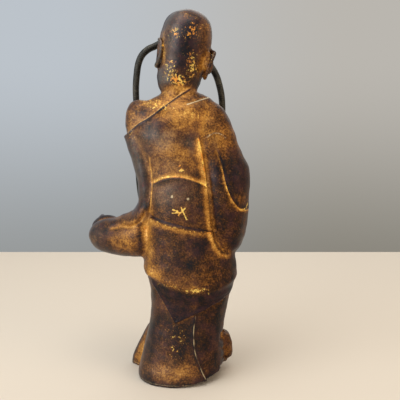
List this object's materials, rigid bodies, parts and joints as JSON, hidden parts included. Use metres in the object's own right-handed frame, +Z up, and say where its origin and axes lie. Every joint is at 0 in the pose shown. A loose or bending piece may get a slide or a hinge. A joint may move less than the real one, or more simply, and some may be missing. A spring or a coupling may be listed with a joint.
{
  "type": "luohan statue",
  "caption": "standing luohan statue in lacquered and partly gilt cast bronze, with long rod eyebrows, draped robe and one wide hanging sleeve",
  "frame": {"origin": "middle of the flat underside, which rests on the table", "axes": "+Z up; the figure faces -Y; +X points to the figure's left"},
  "size_m": [0.1549, 0.0969, 0.3404],
  "materials": {
    "lacquered_bronze": "dark brown lacquer over cast bronze, worn to ochre gilding in the hollows and along the edges, semi-gloss",
    "dark_rod": "dark grey-brown patinated metal rod with fine striations, satin"
  },
  "bodies": {
    "root": {"figure": "lacquered_bronze", "left_eyebrow": "dark_rod", "right_eyebrow": "dark_rod"}
  },
  "joints": []
}
